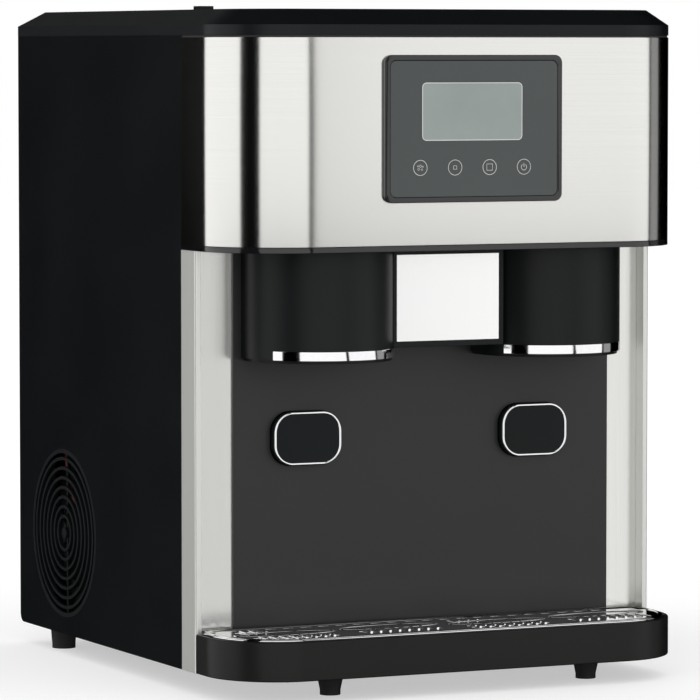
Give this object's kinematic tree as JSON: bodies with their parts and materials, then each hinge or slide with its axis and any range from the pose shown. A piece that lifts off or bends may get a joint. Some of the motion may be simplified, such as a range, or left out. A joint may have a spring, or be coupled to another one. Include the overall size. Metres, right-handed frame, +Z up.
{
  "type": "ice maker",
  "caption": "Countertop ice maker and water dispenser with a steel-fronted head, touch panel, two spouts with push pads, and a lift-out drip tray.",
  "frame": {"origin": "on the surface it stands on, under the middle of the overall box", "axes": "+Z up, the dispensing front faces -Y, +X to the right seen from the front"},
  "size_m": [0.326, 0.378, 0.4382],
  "materials": {
    "painted_steel": "satin powder coat, near black",
    "cover_plastic": "satin moulded black, slightly lighter on the chamfer",
    "gloss_black": "polished black moulding",
    "brushed_steel": "fine horizontal brushing, warm white reflections",
    "control_glass": "smoky grey clear-coated film",
    "lcd": "unlit liquid-crystal window, pale grey green",
    "print_white": "thin printed line",
    "board_green": "solder-masked board",
    "splash_black": "gloss black sheet",
    "spout_black": "satin black moulding",
    "shelf_black": "satin black moulding",
    "chrome": "bright plating",
    "paddle_black": "polished black push pad",
    "rubber": "matt rubber",
    "screw_steel": "blackened steel",
    "pin_steel": "plain drawn pin",
    "spring_steel": "spring wire",
    "switch_black": "moulded switch case",
    "inner_plastic": "plain structural moulding",
    "tank_plastic": "milky translucent moulding",
    "float_foam": "foamed plastic",
    "pump_black": "moulded pump case",
    "valve_white": "white moulding",
    "silicone": "milky silicone hose",
    "compressor_black": "semi-gloss black enamel",
    "fins": "thin aluminium fins and tubes",
    "fan_black": "moulded fan frame",
    "copper": "bare copper tube",
    "nickel": "nickel-plated cold plate",
    "white_plastic": "food-safe white moulding",
    "tray_blue": "food-safe blue-grey moulding",
    "motor_grey": "zinc-plated motor case",
    "stainless": "stainless screw and blades"
  },
  "bodies": {
    "cabinet": {"base_pan": "painted_steel", "front_shelf": "shelf_black", "feet": "rubber", "side_panel_left": "painted_steel", "side_panel_right": "painted_steel", "back_panel": "painted_steel", "rear_screws": "screw_steel", "vent_grille_left": "cover_plastic", "vent_grille_right": "cover_plastic", "top_cover": "cover_plastic", "lid_hinge_pin": "pin_steel", "head_shell": "inner_plastic", "head_steel_wrap": "brushed_steel", "head_bottom_trim": "gloss_black", "display_bezel": "gloss_black", "control_glass": "control_glass", "lcd_window": "lcd", "touch_key_marks": "print_white", "display_board": "board_green", "steel_surround": "brushed_steel", "splash_panel": "splash_black", "spout_left": "spout_black", "spout_right": "spout_black", "chrome_rings": "chrome", "water_nozzle": "spout_black", "centre_plate_frame": "spout_black", "centre_steel_plate": "brushed_steel", "paddle_springs": "spring_steel", "micro_switches": "switch_black", "cord_gland": "switch_black", "inner_frame": "inner_plastic", "water_tank": "tank_plastic", "water_pump": "pump_black", "inlet_valve": "valve_white", "water_hoses": "silicone", "compressor": "compressor_black", "compressor_mounts": "rubber", "condenser": "fins", "fan_shroud": "fan_black", "refrigerant_tubes": "copper", "evaporator": "nickel", "ice_housing": "white_plastic", "tray_motor": "motor_grey", "ice_bin": "white_plastic", "auger_motor": "motor_grey", "ice_chute": "spout_black", "control_board": "board_green"},
    "service_lid": {"service_lid": "cover_plastic"},
    "ice_paddle": {"ice_paddle": "paddle_black", "ice_paddle_trim": "chrome"},
    "water_paddle": {"water_paddle": "paddle_black", "water_paddle_trim": "chrome"},
    "drip_tray": {"drip_tray": "shelf_black"},
    "drip_grid": {"drip_grid": "chrome"},
    "drain_plug": {"drain_plug": "rubber"},
    "level_float": {"level_float": "float_foam"},
    "fan": {"fan_impeller": "fan_black"},
    "freezing_tray": {"freezing_tray": "tray_blue"},
    "auger": {"auger": "stainless"},
    "chute_flap": {"chute_flap": "inner_plastic"}
  },
  "joints": [
    {"name": "service_lid_hinge", "type": "hinge", "parent": "cabinet", "child": "service_lid", "pos_m": [-0.08, 0.159, 0.432], "axis": [-1, 0, 0], "range_deg": [0, 100]},
    {"name": "ice_paddle_push", "type": "slide", "parent": "cabinet", "child": "ice_paddle", "axis": [0, 1, 0], "range_m": [0, 0.004], "stiffness_N_per_m": 400, "springref_m": -0.003},
    {"name": "water_paddle_push", "type": "slide", "parent": "cabinet", "child": "water_paddle", "axis": [0, 1, 0], "range_m": [0, 0.004], "stiffness_N_per_m": 400, "springref_m": -0.003},
    {"name": "drip_tray_lift", "type": "slide", "parent": "cabinet", "child": "drip_tray", "axis": [0, 0, 1], "range_m": [0, 0.06]},
    {"name": "drip_grid_lift", "type": "slide", "parent": "drip_tray", "child": "drip_grid", "axis": [0, 0, 1], "range_m": [0, 0.04]},
    {"name": "drain_plug_pull", "type": "slide", "parent": "cabinet", "child": "drain_plug", "axis": [0, 1, 0], "range_m": [0, 0.025]},
    {"name": "level_float_rise", "type": "slide", "parent": "cabinet", "child": "level_float", "axis": [0, 0, 1], "range_m": [0, 0.08]},
    {"name": "fan_spin", "type": "hinge", "parent": "cabinet", "child": "fan", "pos_m": [-0.14, 0.1025, 0.083], "axis": [1, 0, 0], "continuous": true},
    {"name": "freezing_tray_tilt", "type": "hinge", "parent": "cabinet", "child": "freezing_tray", "pos_m": [0.103, 0.021, 0.372], "axis": [0, -1, 0], "range_deg": [0, 80]},
    {"name": "auger_spin", "type": "hinge", "parent": "cabinet", "child": "auger", "pos_m": [-0.079, 0.001, 0.286], "axis": [0, 1, 0], "continuous": true},
    {"name": "chute_flap_drop", "type": "hinge", "parent": "cabinet", "child": "chute_flap", "pos_m": [-0.079, -0.1216, 0.252], "axis": [1, 0, 0], "range_deg": [0, 60], "stiffness_Nm_per_rad": 0.02, "springref_deg": -57.3}
  ]
}
